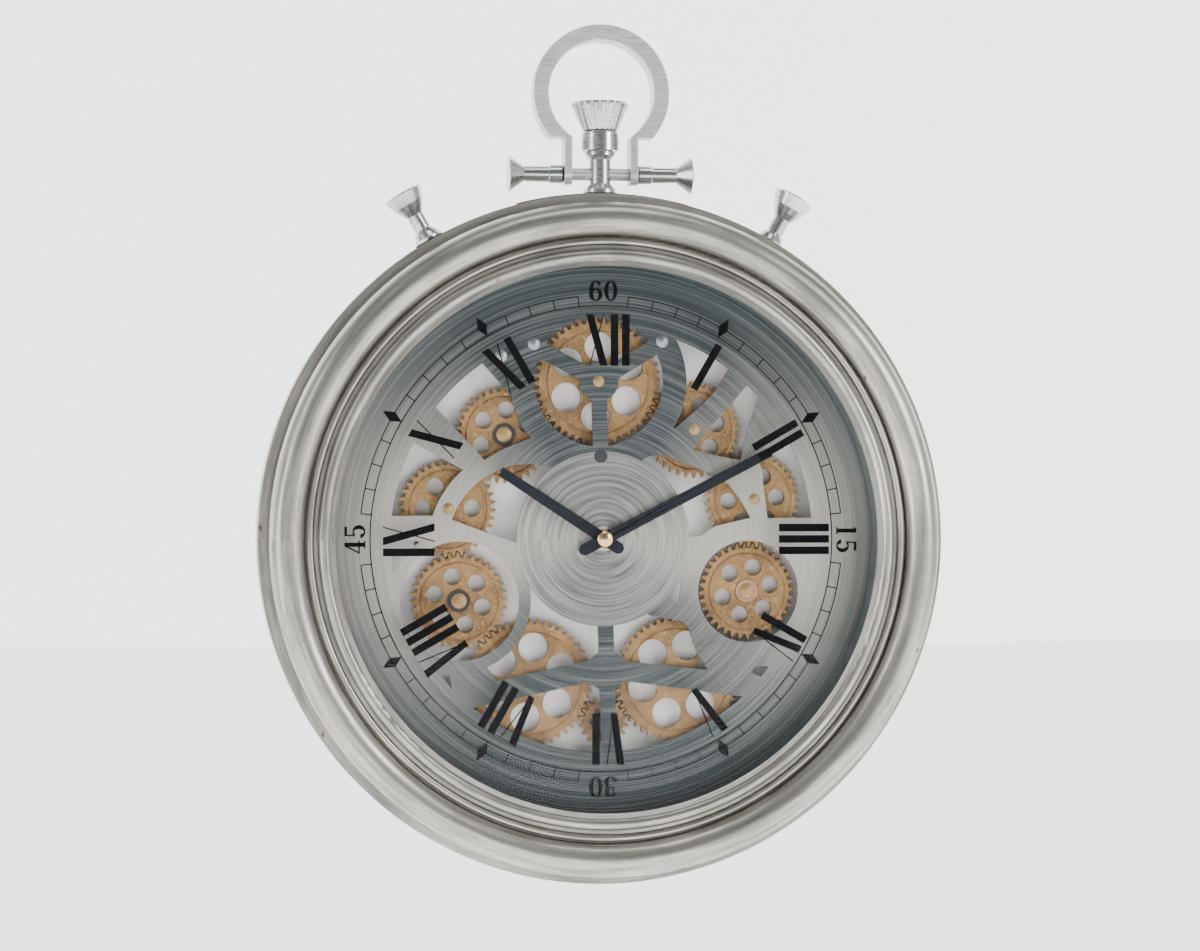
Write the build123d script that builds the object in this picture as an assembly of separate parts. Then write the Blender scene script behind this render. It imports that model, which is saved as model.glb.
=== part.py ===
"""Skeleton wall clock in the shape of a pocket watch, with a train of turning gears behind a pierced dial.

Frame: millimetres, +Z up, +X to the right of someone who reads the dial, -Y out of the wall.
The origin is on the axis of the hands, in the plane of the wall.
"""

import os
from math import acos, cos, pi, radians, sin, tan

from build123d import *

# Case
CASE_R = 200.0
CASE_DEPTH = 65.0
SHEET = 1.5
FLANGE_Y = -36.5
BACK_RIM_W = 14.0

# Bezel
FLANGE_W = 6.0
OUTER_RING_R = 10.0
OUTER_RING_MID = CASE_R - FLANGE_W - OUTER_RING_R
BEZEL_SKIRT = 5.0
BEAD_R = 2.3
BEAD_MID = OUTER_RING_MID - 12.7
INNER_RING_R = 3.7
INNER_RING_MID = OUTER_RING_MID - 20.8
OPENING_R = OUTER_RING_MID - 27.0
LIP_FRONT = 5.6

# Glass
GLASS_R = OPENING_R + 4.0
GLASS_T = 3.0
GLASS_BACK_Y = 12.0 - CASE_DEPTH
GASKET_T = 1.2
GLASS_REST = 3.0
RETAINER_T = 2.0

# Dial
DIAL_R = GLASS_R + 5.0
DIAL_T = 1.5
DIAL_Y = -31.5
DISC_R = 50.8
PIERCED_R = 123.8
RING_W = 13.9
WINDOW_TOP_R = 37.8
WINDOW_LEFT_R = 34.6
WINDOW_RIGHT_R = 29.7
RING_LEFT_R = 41.3
SIDE_WINDOW_X = 84.7
SIDE_WINDOW_Z = -33.4
ARM_W = 9.2
HUB_R = 11.6
BRIDGE_Z = -76.8
GEAR_FRAME_TURN = 1.65

# Printing
PRINT_T = 0.2
TRACK_IN_R = 135.5
TRACK_OUT_R = 141.5
TRACK_LINE_W = 0.55
DIAMOND_IN_R = 135.5
DIAMOND_OUT_R = 148.0
DIAMOND_W = 6.0
DIGIT_H = 12.0
DIGIT_IN_R = 138.2
NUMERAL_IN_R = 100.0
NUMERAL_H = 29.5
NUMERAL_BAR = 4.4
NUMERAL_THIN = 0.7
NUMERAL_PITCH = 6.6
NUMERAL_WIDE = 12.5

# Gears
MODULE = 1.5
PRESSURE_ANGLE = 20.0
ADDENDUM = 0.9
DEDENDUM = 1.15
TOOTH_SLACK = 0.34
GEAR_T = 3.5
GEAR_Y = -23.5
TOP_GEAR_Z = 91.6
GROOVE_AT = 0.82
GROOVE_W = 1.2
GROOVE_DEEP = 0.5
POST_R = 3.0
RUN_FIT = 0.05
AXIAL_GAP = 0.3
SPINDLE_R = 1.5
CAP_R = 3.3
BOSS_R = 4.4
BOSS_RING_R = 6.5
PINION_TEETH = 10
PINION_SHAFT_R = 1.5
BUSH_R = 3.7

# Back panel and fastening
PANEL_T = 2.0
PANEL_Y = -18.0
PANEL_GAP = 0.5
BRACKET_COUNT = 6
BRACKET_W = 14.0
BRACKET_REACH = 16.0
PILLAR_R = 3.5
PILLAR_RING_R = 150.0
SCREW_R = 1.75
SCREW_HEAD_R = 3.4
SCREW_HEAD_T = 1.8
SCREW_LEN = 6.0
CLEARANCE = 0.1

# Movement
MOVE_SIZE = 56.0
MOVE_DEPTH = 16.0
MOVE_WALL = 1.6
TUBE_R = 4.0
HOUR_TUBE_R = 2.6
MINUTE_SHAFT_R = 1.6
NUT_T = 2.0
NUT_R = 6.5
WASHER_T = 0.4
CELL_R = 7.1
CELL_LEN = 50.0
CELL_Z = -17.0
KNOB_R = 7.0
KNOB_T = 4.0

# Hands
HAND_T = 1.0
HAND_W = 6.8
HOUR_HAND_Y = -37.2
MINUTE_HAND_Y = -39.4
HOUR_LEN = 72.0
HOUR_TAIL = 13.0
HOUR_AT = 303.0
MINUTE_LEN = 110.0
MINUTE_TAIL = 16.6
MINUTE_AT = 62.6
HANDS_CAP_R = 4.4
HANDS_CAP_T = 2.6

# Gear motor, battery holder and switch
MOTOR_W = 38.0
MOTOR_H = 34.0
MOTOR_DEPTH = 14.0
MOTOR_CAN_R = 5.5
MOTOR_CAN_LEN = 24.0
HOLDER_W = 62.0
HOLDER_H = 32.0
HOLDER_DEPTH = 13.0
HOLDER_Z = -62.0
HOLDER_WALL = 1.5
SWITCH_X = 46.0
SWITCH_W = 9.0
SWITCH_H = 20.0
SWITCH_DEPTH = 8.0
SLIDER_W = 4.0
SLIDER_H = 5.0
SWITCH_TRAVEL = 4.0
LEAD_R = 0.7

# Hanger
HANGER_W = 60.0
HANGER_H = 46.0
HANGER_TOP = CASE_R - 8.0
HANGER_T = 1.5
KEYHOLE_Z = HANGER_TOP - 24.0
KEYHOLE_R = 5.5
KEYHOLE_SLOT_R = 2.75
KEYHOLE_RISE = 12.0

# Crown, bow and pushers
CROWN_Y = -19.0
SADDLE_T = 1.2
SADDLE_W = 24.0
SADDLE_HALF_ANGLE = 14.5
STEM_GASKET_T = 0.8
STEM_R = 6.3
STEM_FOOT_R = 9.6
STEM_FOOT_T = 2.0
STEM_TOP = 26.0
COLLAR_R = 10.8
COLLAR_T = 12.0
KNOB_FOOT_R = 10.5
KNOB_TOP_R = 16.8
KNOB_H = 17.0
FLUTE_COUNT = 22
STUD_R = 2.5
STUD_LEN = 9.0
STUD_NUT_R = 4.6
STUD_NUT_T = 3.0
BAR_R = 3.6
BAR_ABOVE_CASE = 13.0
BAR_HALF = 54.0
BAR_END_R = 10.8
BAR_END_CONE = 9.0
SLEEVE_R = 5.4
BOW_OUT_R = 40.0
BOW_W = 9.0
BOW_DEPTH = 16.0
BOW_ABOVE_CASE = 60.0
BOW_LEG_X = 19.4
BOW_LEG_W = 4.6
BOW_LEG_TOP = 34.0
BOW_LEG_END = 6.2
SIDE_GAP = 0.3
PUSHER_AT = 30.0
PUSHER_FOOT_R = 8.2
PUSHER_NECK_R = 4.8
PUSHER_HEAD_R = 12.0
PUSHER_HEAD_H = 14.8
PUSHER_H = 31.0

DIAL_FRONT = DIAL_Y - DIAL_T
PANEL_FRONT = PANEL_Y - PANEL_T
GEAR_FRONT = GEAR_Y - GEAR_T
MOVE_BACK = DIAL_Y + MOVE_DEPTH
BAR_Z = CASE_R + BAR_ABOVE_CASE
RING_TOP_R = WINDOW_TOP_R + RING_W


def front_plane(y):
    """Plane parallel to the dial: its x is X, its y is Z, and extrusion goes towards the viewer."""
    return Plane(origin=(0, y, 0), x_dir=(1, 0, 0), z_dir=(0, -1, 0))


def plate(sketch, back_y, front_y):
    """Extrude an outline drawn as seen from the front, from back_y forward to front_y."""
    return extrude(front_plane(back_y) * sketch, amount=back_y - front_y)


def disc(radius, x, z, back_y, front_y):
    return plate(Pos(x, z) * Circle(radius), back_y, front_y)


def turn(section):
    """Spin a section, drawn with x as radius and y as depth, round the axis of the hands."""
    return revolve(section, Axis.Y)


def box_section(r0, r1, y0, y1):
    return Pos((r0 + r1) / 2, (y0 + y1) / 2) * Rectangle(abs(r1 - r0), abs(y1 - y0))


def polar(radius, angle):
    """Point at an angle counted anticlockwise from +X, seen from the front."""
    return radius * cos(radians(angle)), radius * sin(radians(angle))


def clock_angle(minutes):
    """Angle from +X of a place on the dial, from its minutes past twelve."""
    return 90.0 - 6.0 * minutes


def turned(x, z):
    """A point of the gear frame, which sits slightly turned in the case."""
    a = radians(GEAR_FRAME_TURN)
    return x * cos(a) - z * sin(a), x * sin(a) + z * cos(a)


def together(pieces):
    return Compound(children=[solid for piece in pieces for solid in piece.solids()])


# ---------------------------------------------------------------- gear train


def pitch_r(teeth):
    return MODULE * teeth / 2


def beyond(centre, bearing, distance):
    dx, dz = polar(distance, bearing)
    return centre[0] + dx, centre[1] + dz


BIG, SMALL, TINY = 48, 36, 18

# name: (teeth, gear that it meshes with, bearing from that gear, angle of its first hole)
TRAIN = {
    "top_gear": (BIG, None, 0.0, 27.0),
    "upper_left_gear": (SMALL, "top_gear", 207.9, 25.0),
    "left_gear": (SMALL, "upper_left_gear", 230.7, 0.0),
    "lower_left_gear": (SMALL, "left_gear", 275.5, 45.0),
    "bottom_left_gear": (BIG, "lower_left_gear", -50.9, 23.5),
    "bottom_small_gear": (TINY, "bottom_left_gear", -29.5, 0.0),
    "bottom_right_gear": (BIG, "bottom_small_gear", 27.8, 13.5),
    "upper_right_gear": (SMALL, "top_gear", -27.9, 14.0),
    "right_gear": (SMALL, "upper_right_gear", -50.7, 5.0),
    "lower_right_gear": (SMALL, "right_gear", -95.5, 14.0),
    "drive_pinion": (PINION_TEETH, "top_gear", -90.0, 0.0),
}

HOLES = {BIG: (8.6, 20.5), SMALL: (4.9, 14.4), TINY: (1.8, 7.0)}
IN_WINDOW = ("upper_left_gear", "lower_left_gear", "lower_right_gear")
CAPPED = ("top_gear", "left_gear", "right_gear", "upper_right_gear")


def lay_out_train():
    """Centre and first tooth angle of each gear, so that every mesh has a tooth in a gap."""
    places = {}
    for name, (teeth, driver, bearing, _) in TRAIN.items():
        if driver is None:
            places[name] = (turned(0.0, TOP_GEAR_Z), 90.0 + GEAR_FRAME_TURN)
            continue
        centre, phase = places[driver]
        z_driver = TRAIN[driver][0]
        bearing += GEAR_FRAME_TURN
        here = beyond(centre, bearing, pitch_r(z_driver) + pitch_r(teeth))
        shift = (phase - bearing) * z_driver / 360 + 0.5
        places[name] = (here, bearing + 180 - shift * 360 / teeth)
    return places


def involute(angle):
    return tan(angle) - angle


def half_tooth(radius, teeth):
    """Half the angle that a tooth spans at a radius, in radians."""
    r_pitch = pitch_r(teeth)
    r_base = r_pitch * cos(radians(PRESSURE_ANGLE))
    at_pitch = pi / (2 * teeth) - TOOTH_SLACK / (2 * r_pitch)
    roll = acos(min(1.0, r_base / radius))
    return at_pitch + involute(radians(PRESSURE_ANGLE)) - involute(roll)


def gear_outline(teeth, phase):
    r_pitch = pitch_r(teeth)
    r_tip = r_pitch + ADDENDUM * MODULE
    r_root = r_pitch - DEDENDUM * MODULE
    flank = (r_root, r_pitch, r_tip)
    points = []
    for k in range(teeth):
        mid = radians(phase) + 2 * pi * k / teeth
        for r in flank:
            a = mid - half_tooth(r, teeth)
            points.append((r * cos(a), r * sin(a)))
        for r in reversed(flank):
            a = mid + half_tooth(r, teeth)
            points.append((r * cos(a), r * sin(a)))
    return make_face(Polyline(*points, close=True))


def gear(name, places):
    teeth, _, _, first_hole = TRAIN[name]
    (x, z), phase = places[name]
    hole_r, hole_ring_r = HOLES[teeth]
    outline = gear_outline(teeth, phase) - Circle(POST_R + RUN_FIT)
    for k in range(6):
        outline -= Pos(*polar(hole_ring_r, first_hole + 60 * k)) * Circle(hole_r)
    groove_r = GROOVE_AT * (pitch_r(teeth) + ADDENDUM * MODULE)
    body = plate(Pos(x, z) * outline, GEAR_Y, GEAR_FRONT)
    if teeth == TINY:
        return body
    groove = Circle(groove_r) - Circle(groove_r - GROOVE_W)
    return body - plate(Pos(x, z) * groove, GEAR_FRONT + GROOVE_DEEP, GEAR_FRONT - 1)


def drive_pinion(places):
    (x, z), phase = places["drive_pinion"]
    wheel = plate(Pos(x, z) * gear_outline(PINION_TEETH, phase), GEAR_Y + 1, GEAR_FRONT - 1)
    shaft = disc(PINION_SHAFT_R, x, z, PANEL_Y + MOTOR_DEPTH / 2, DIAL_FRONT + 0.4)
    return wheel + shaft


def gear_posts(places):
    """A shouldered post for each gear; where the dial covers it, its spindle reaches the dial."""
    posts = []
    for name, ((x, z), _) in places.items():
        if name == "drive_pinion":
            continue
        post = disc(POST_R + 2, x, z, PANEL_FRONT, GEAR_Y + AXIAL_GAP)
        post += disc(POST_R, x, z, GEAR_Y + AXIAL_GAP, GEAR_FRONT - AXIAL_GAP)
        if name in CAPPED:
            post += disc(SPINDLE_R, x, z, GEAR_FRONT - AXIAL_GAP, DIAL_FRONT)
        elif name not in IN_WINDOW:
            post += disc(SPINDLE_R, x, z, GEAR_FRONT - AXIAL_GAP, DIAL_Y)
        posts.append(post)
    return together(posts)


def dome(radius, height, x, z, back_y):
    """Low round head, flat at the back."""
    ball_r = (radius**2 + height**2) / (2 * height)
    ball = Pos(x, back_y - height + ball_r, z) * Sphere(ball_r)
    return ball & disc(radius, x, z, back_y, back_y - height)


def post_heads(places):
    """Brass heads of the posts: small ones on the dial's arms, larger ones in the open windows."""
    seat = GEAR_FRONT - AXIAL_GAP
    bosses = [dome(CAP_R, 1.5, *places[name][0], DIAL_FRONT) for name in CAPPED]
    for name in IN_WINDOW:
        x, z = places[name][0]
        bosses.append(disc(BOSS_R, x, z, seat, seat - 1.2) + dome(BOSS_R, 1.3, x, z, seat - 1.2))
    return together(bosses)


def boss_washer(name, places):
    x, z = places[name][0]
    ring = Circle(BOSS_RING_R) - Circle(BOSS_R + CLEARANCE)
    return plate(Pos(x, z) * ring, GEAR_FRONT - AXIAL_GAP, GEAR_FRONT - AXIAL_GAP - 0.8)


# ---------------------------------------------------------------- dial


def window_shapes():
    """The round windows and the shaped openings of the dial, in the gear frame's own directions."""

    def outline(*points):
        return make_face(Polyline(*points, close=True))

    pierced = Circle(PIERCED_R)
    centre_disc = Circle(DISC_R)
    ring_top = Pos(0, TOP_GEAR_Z) * Circle(RING_TOP_R)
    ring_left = Pos(-SIDE_WINDOW_X, SIDE_WINDOW_Z) * Circle(RING_LEFT_R)
    hub = Pos(0, BRIDGE_Z) * Circle(HUB_R)
    band_at = Pos(-43.1, -3.4)
    half_arm = ARM_W / 2

    spider = Sketch() + [
        Rot(0, 0, a) * Pos(WINDOW_TOP_R / 2, 0) * Rectangle(WINDOW_TOP_R, ARM_W) for a in (30, 150, 270)
    ]
    top = Circle(WINDOW_TOP_R) - spider - Circle(HUB_R)

    left_of_ring = (
        outline(
            (-105, 89.7), (-75, 112.5), (-47, 79.4), (-38, 66), (-41.1, 59.7), (-58.4, 53.4), (-68.1, 47.8)
        )
        & pierced
    ) - ring_top
    far_left = outline((-118, 64.5), (-80.2, 42.1), (-75, 16), (-130, 17.2)) & pierced
    far_left -= band_at * Circle(59.3)
    beside_disc = outline((-95, 16.6), (-49.2, -1.5), (-40, 20), (-22.9, 45.9), (-30, 60), (-95, 60))
    beside_disc = (beside_disc & band_at * Circle(48.1)) - centre_disc
    under_nine = (outline((-130, 2.8), (-108.5, 2.3), (-100, -5), (-130, -20)) & pierced) - ring_left
    above_bridge_left = (
        outline((-50, -15), (-half_arm, -15), (-half_arm, -69.3), (-64.5, -80.1), (-72, -70), (-60, -20))
        - centre_disc
        - ring_left
        - hub
    )
    above_bridge_right = (
        outline(
            (half_arm, -40),
            (22, -40),
            (25.1, -45.1),
            (34.8, -47.5),
            (46, -49.9),
            (49.4, -55),
            (51, -62.5),
            (53.4, -68.8),
            (59.5, -78.5),
            (half_arm, -70.7),
        )
        - centre_disc
        - hub
    )
    below_bridge_left = outline((-90, -97.3), (-half_arm, -82), (-half_arm, -130), (-90, -130))
    below_bridge_left = (below_bridge_left & pierced) - hub
    below_bridge_right = outline((90, -96.5), (half_arm, -82.2), (half_arm, -130), (90, -130))
    below_bridge_right = (below_bridge_right & pierced) - hub
    under_one = (
        outline(
            (44.6, 63.5), (57.1, 73.7), (67.7, 83.3), (77.1, 97.3), (83, 108), (50, 125), (30, 118), (30, 60)
        )
        & pierced
    ) - ring_top
    under_two = (
        outline(
            (93, 93.2),
            (101, 84),
            (94.2, 79.5),
            (89.8, 68.3),
            (85.5, 56.1),
            (82.6, 43.2),
            (67.2, 46.9),
            (55, 50.1),
            (64.4, 62.5),
            (75.2, 73.6),
        )
        & pierced
    )
    right_of_disc = (
        outline(
            (24.3, 45.2),
            (31.3, 48.3),
            (37.9, 47.3),
            (66, 35.5),
            (74.8, 29.5),
            (81.1, 21.2),
            (87.3, 9.6),
            (66, 5.3),
            (57.7, -0.2),
            (30, -0.9),
        )
        - centre_disc
    )
    above_three = outline((120, 58.5), (91.5, 46.2), (94.7, 38.8), (96, 24), (97.5, 9.1), (130, 8.4))
    above_three &= pierced
    slots = [
        outline((87.5, -77.2), (95.3, -77.8), (90.9, -83.7), (85.3, -80.7)),
        outline((-97.2, -75.4), (-91.8, -76), (-90.5, -83.8)),
        outline((45.5, -25.2), (37.8, -35.6), (43.4, -38.1)),
    ]
    return [
        Pos(0, TOP_GEAR_Z) * top,
        Pos(-SIDE_WINDOW_X, SIDE_WINDOW_Z) * Circle(WINDOW_LEFT_R),
        Pos(SIDE_WINDOW_X, SIDE_WINDOW_Z) * Circle(WINDOW_RIGHT_R),
        left_of_ring,
        far_left,
        beside_disc,
        under_nine,
        above_bridge_left,
        above_bridge_right,
        below_bridge_left,
        below_bridge_right,
        under_one,
        under_two,
        right_of_disc,
        above_three,
        *slots,
    ]


def dial_plate(places):
    outline = Circle(DIAL_R)
    for window in window_shapes():
        outline -= Rot(0, 0, GEAR_FRAME_TURN) * window
    outline -= Circle(TUBE_R + CLEARANCE)
    outline -= Pos(*places["drive_pinion"][0]) * Circle(BUSH_R)
    for name in CAPPED:
        outline -= Pos(*places[name][0]) * Circle(SPINDLE_R + RUN_FIT)
    return plate(outline, DIAL_Y, DIAL_FRONT)


def drive_bush(places):
    """Dark bush pressed into the dial: the front bearing of the drive shaft."""
    x, z = places["drive_pinion"][0]
    bush = disc(BUSH_R, x, z, DIAL_Y + 1.0, DIAL_FRONT - 0.4)
    return bush - disc(PINION_SHAFT_R + RUN_FIT, x, z, DIAL_Y + 2.0, DIAL_FRONT + 0.3)


def dial_screw_places():
    return [turned(-37.2, 114.3), turned(38.1, 114.0), turned(-56.6, 107.8)]


def pillar_places():
    ring = [polar(PILLAR_RING_R, 15 + 60 * k) for k in range(6)]
    return dial_screw_places() + ring


def dial_screws():
    return together([dome(3.7, 1.6, x, z, DIAL_FRONT) for x, z in dial_screw_places()])


def dial_pillars():
    pillars = []
    for x, z in pillar_places():
        pillar = disc(PILLAR_R, x, z, PANEL_FRONT, DIAL_Y)
        pillars.append(pillar - disc(SCREW_R, x, z, PANEL_FRONT, PANEL_Y - SCREW_LEN - 0.5))
    return together(pillars)


# ---------------------------------------------------------------- printing


def arc_line(radius, start, end):
    """Ring line of the track between two angles."""
    if end - start >= 360:
        return Circle(radius + TRACK_LINE_W / 2) - Circle(radius - TRACK_LINE_W / 2)
    middle = CenterArc((0, 0), radius, start, end - start)
    return trace(middle, line_width=TRACK_LINE_W)


def minute_track():
    lines = [arc_line(TRACK_IN_R, 0, 360)]
    for quarter in range(4):
        start = clock_angle(15 * quarter) + 6
        lines.append(arc_line(TRACK_OUT_R, start, start + 78))
    middle = (TRACK_IN_R + TRACK_OUT_R) / 2
    for minute in range(60):
        if minute % 15 == 0:
            continue
        tick = Rectangle(TRACK_OUT_R - TRACK_IN_R, TRACK_LINE_W)
        lines.append(Rot(0, 0, clock_angle(minute)) * Pos(middle, 0) * tick)
    widest = TRACK_OUT_R
    for hour in range(12):
        if hour % 3 == 0:
            continue
        corners = (DIAMOND_IN_R, 0), (widest, DIAMOND_W / 2), (DIAMOND_OUT_R, 0), (widest, -DIAMOND_W / 2)
        diamond = make_face(Polyline(*corners, close=True))
        lines.append(Rot(0, 0, clock_angle(5 * hour)) * diamond)
    return together(plate(line, DIAL_FRONT, DIAL_FRONT - PRINT_T) for line in [Sketch() + lines])


def digit(mark):
    """A serif digit, DIGIT_H high, centred on its own middle."""
    h = DIGIT_H
    w = 0.64 * h
    thick, thin = 0.19 * h, 0.06 * h
    bar = Rectangle(thick, h)
    foot = Pos(0, -h / 2 + thin / 2) * Rectangle(0.36 * h, thin)

    def bowl(width, height, x, z):
        outer = Ellipse(width / 2, height / 2)
        inner = Ellipse(width / 2 - thick, height / 2 - thin)
        return Pos(x, z) * (outer - inner)

    if mark == "0":
        return bowl(w, h, 0, 0)
    if mark == "1":
        corners = (-thick / 2, h / 2), (-0.2 * h, 0.36 * h), (-thick / 2, 0.38 * h)
        flag = make_face(Polyline(*corners, close=True))
        return bar + foot + flag
    lower = bowl(w, 0.62 * h, 0, -0.19 * h)
    if mark == "6":
        tail = bowl(w, h, 0, 0) & (Pos(-w / 4, 0.1 * h) * Rectangle(w / 2, 0.8 * h))
        ball = Pos(0.16 * h, 0.36 * h) * Circle(0.09 * h)
        top = bowl(w, h, 0, 0) & (Pos(w / 8, 0.42 * h) * Rectangle(w / 3, 0.2 * h))
        return lower + tail + top + ball
    open_left = Pos(-w / 2, -0.13 * h) * Rectangle(w, 0.27 * h)
    ball = Pos(-0.18 * h, -0.33 * h) * Rot(0, 0, 20) * Rectangle(0.15 * h, 0.13 * h)
    if mark == "5":
        stem = Pos(-0.17 * h, 0.26 * h) * Rectangle(thin, 0.46 * h)
        flag = Pos(0.02 * h, 0.44 * h) * Rectangle(0.44 * h, 0.12 * h)
        return (lower - open_left) + stem + flag + ball
    if mark == "3":
        upper = bowl(0.9 * w, 0.5 * h, 0, 0.25 * h)
        upper -= Pos(-w / 2 + 0.02 * h, 0.2 * h) * Rectangle(w / 2, 0.24 * h)
        return (bowl(w, 0.56 * h, 0, -0.22 * h) - open_left) + upper + ball
    stem = Pos(0.12 * h, 0) * Rectangle(thick, h)
    cross = Pos(0, -0.2 * h) * Rectangle(0.62 * h, thin)
    corners = (0.12 * h, h / 2), (0.04 * h, h / 2), (-0.31 * h, -0.2 * h), (-0.24 * h, -0.2 * h)
    slope = make_face(Polyline(*corners, close=True))
    return stem + cross + slope + Pos(0.12 * h, 0) * foot


def minute_numbers():
    """Four numbers, each with its top towards the rim."""
    advance = 0.74 * DIGIT_H
    marks = []
    for minutes, text in ((0, "60"), (15, "15"), (30, "30"), (45, "45")):
        pair = Pos(-advance / 2, 0) * digit(text[0]) + Pos(advance / 2, 0) * digit(text[1])
        placed = Pos(0, DIGIT_IN_R + DIGIT_H / 2) * pair
        marks.append(plate(Rot(0, 0, -6 * minutes) * placed, DIAL_FRONT, DIAL_FRONT - PRINT_T))
    return together(marks)


def slanted_bar(x_bottom, x_top, width_bottom, width_top):
    """Stroke of a numeral, with square ends at the numeral's foot and head."""
    return make_face(
        Polyline(
            (x_bottom - width_bottom / 2, 0),
            (x_bottom + width_bottom / 2, 0),
            (x_top + width_top / 2, NUMERAL_H),
            (x_top - width_top / 2, NUMERAL_H),
            close=True,
        )
    )


def numeral(text):
    """Roman numeral with heavy and light strokes, its foot at z = 0, centred on x = 0."""
    half = NUMERAL_WIDE / 2 - NUMERAL_BAR / 2
    strokes = []
    x = 0.0
    for mark in text:
        wide = NUMERAL_PITCH if mark == "I" else NUMERAL_WIDE + 1.5
        x += wide / 2
        if mark == "I":
            strokes.append(slanted_bar(x, x, NUMERAL_BAR, NUMERAL_BAR))
        if mark == "V":
            strokes.append(slanted_bar(x, x - half, NUMERAL_BAR * 0.9, NUMERAL_BAR))
            strokes.append(slanted_bar(x, x + half, NUMERAL_THIN, NUMERAL_THIN))
        if mark == "X":
            strokes.append(slanted_bar(x + half, x - half, NUMERAL_BAR, NUMERAL_BAR))
            strokes.append(slanted_bar(x - half, x + half, NUMERAL_THIN, NUMERAL_THIN))
        x += wide / 2
    return Pos(-x / 2, 0) * (Sketch() + strokes)


def hour_numerals():
    names = ("XII", "I", "II", "III", "IV", "V", "VI", "VII", "VIII", "IX", "X", "XI")
    marks = []
    for hour, text in enumerate(names):
        placed = Rot(0, 0, -30 * hour) * Pos(0, NUMERAL_IN_R) * numeral(text)
        marks.append(plate(placed, GLASS_BACK_Y + PRINT_T, GLASS_BACK_Y))
    return together(marks)


# ---------------------------------------------------------------- case, bezel, glass


def stud_holes():
    """Holes through the top of the case for the studs of the crown and the pushers."""
    hole = Pos(0, CROWN_Y, CASE_R) * Cylinder(STUD_R + CLEARANCE, 20)
    return [Rot(0, a, 0) * hole for a in (-PUSHER_AT, 0, PUSHER_AT)]


def case_shell():
    band = box_section(CASE_R - SHEET, CASE_R, 0, FLANGE_Y)
    back_rim = box_section(CASE_R - BACK_RIM_W, CASE_R, 0, -SHEET)
    front_rim = box_section(CASE_R - BACK_RIM_W, CASE_R, FLANGE_Y, FLANGE_Y + SHEET)
    shell = turn(band + back_rim + front_rim)
    for hole in stud_holes():
        shell -= hole
    return shell


def outer_bezel():
    """Half-round ring of sheet metal on a flat flange."""
    mid, r, mid_y = OUTER_RING_MID, OUTER_RING_R, OUTER_RING_R - CASE_DEPTH
    outside = Pos(mid, mid_y) * Circle(r) + box_section(mid - r, mid + r, mid_y, FLANGE_Y)
    inside = Pos(mid, mid_y) * Circle(r - SHEET) + box_section(mid - r + SHEET, mid + r - SHEET, mid_y, 0)
    open_skirt = box_section(mid - r - 1, mid - r + SHEET + 1, mid_y + BEZEL_SKIRT, 0)
    flange = box_section(mid + r - SHEET, CASE_R, FLANGE_Y, FLANGE_Y - SHEET)
    return turn(outside - inside - open_skirt + flange)


def inner_bezel():
    """Bead, cove, rolled ring and lip, with a skirt that slides into the outer ring."""
    base_y = OUTER_RING_R - CASE_DEPTH - 1.0
    skirt_r = OUTER_RING_MID - OUTER_RING_R - RUN_FIT
    seat_y = GLASS_BACK_Y - GLASS_T - GASKET_T
    base = box_section(OPENING_R, skirt_r, base_y + SHEET, base_y)
    bead = Pos(BEAD_MID, base_y - 0.6) * Circle(BEAD_R)
    roll = Pos(INNER_RING_MID, base_y - 2.0) * Circle(INNER_RING_R)
    lip = box_section(OPENING_R, INNER_RING_MID, base_y, base_y - LIP_FRONT + 2.0)
    skirt = box_section(skirt_r - SHEET, skirt_r, base_y, base_y + 12.0)
    rebate = box_section(0, GLASS_R + CLEARANCE, seat_y, 0)
    behind = box_section(0, skirt_r - SHEET, base_y + SHEET, 0)
    return turn(base + bead + roll + lip + skirt - rebate - behind)


def glass_gasket():
    seat_y = GLASS_BACK_Y - GLASS_T
    return turn(box_section(GLASS_R - GLASS_REST, GLASS_R, seat_y, seat_y - GASKET_T))


def front_glass():
    return disc(GLASS_R, 0, 0, GLASS_BACK_Y, GLASS_BACK_Y - GLASS_T)


def glass_retaining_ring():
    """Wall between the dial and the glass: it holds the glass against the bezel's lip."""
    return turn(box_section(GLASS_R - RETAINER_T, GLASS_R, DIAL_FRONT, GLASS_BACK_Y))


# ---------------------------------------------------------------- back


def bracket_angles():
    """The first bracket is turned clear of the studs of the crown and the pushers."""
    return [15 + 360 / BRACKET_COUNT * k for k in range(BRACKET_COUNT)]


def screw_places():
    edge = [polar(CASE_R - SHEET - BRACKET_REACH + 5, a) for a in bracket_angles()]
    return edge + pillar_places()


def back_panel(places):
    panel = Circle(CASE_R - SHEET - PANEL_GAP)
    panel -= Rectangle(MOVE_SIZE + 2, MOVE_SIZE + 2)
    panel -= Pos(*places["drive_pinion"][0]) * Circle(PINION_SHAFT_R + 1)
    notch_h = 2 * (STUD_LEN + STUD_NUT_T)
    for a in (-PUSHER_AT, 0, PUSHER_AT):
        panel -= Rot(0, 0, a) * Pos(0, CASE_R) * Rectangle(2 * STUD_NUT_R + 3, notch_h)
    for x, z in screw_places():
        panel -= Pos(x, z) * Circle(SCREW_R + CLEARANCE)
    return plate(panel, PANEL_Y, PANEL_FRONT)


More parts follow.
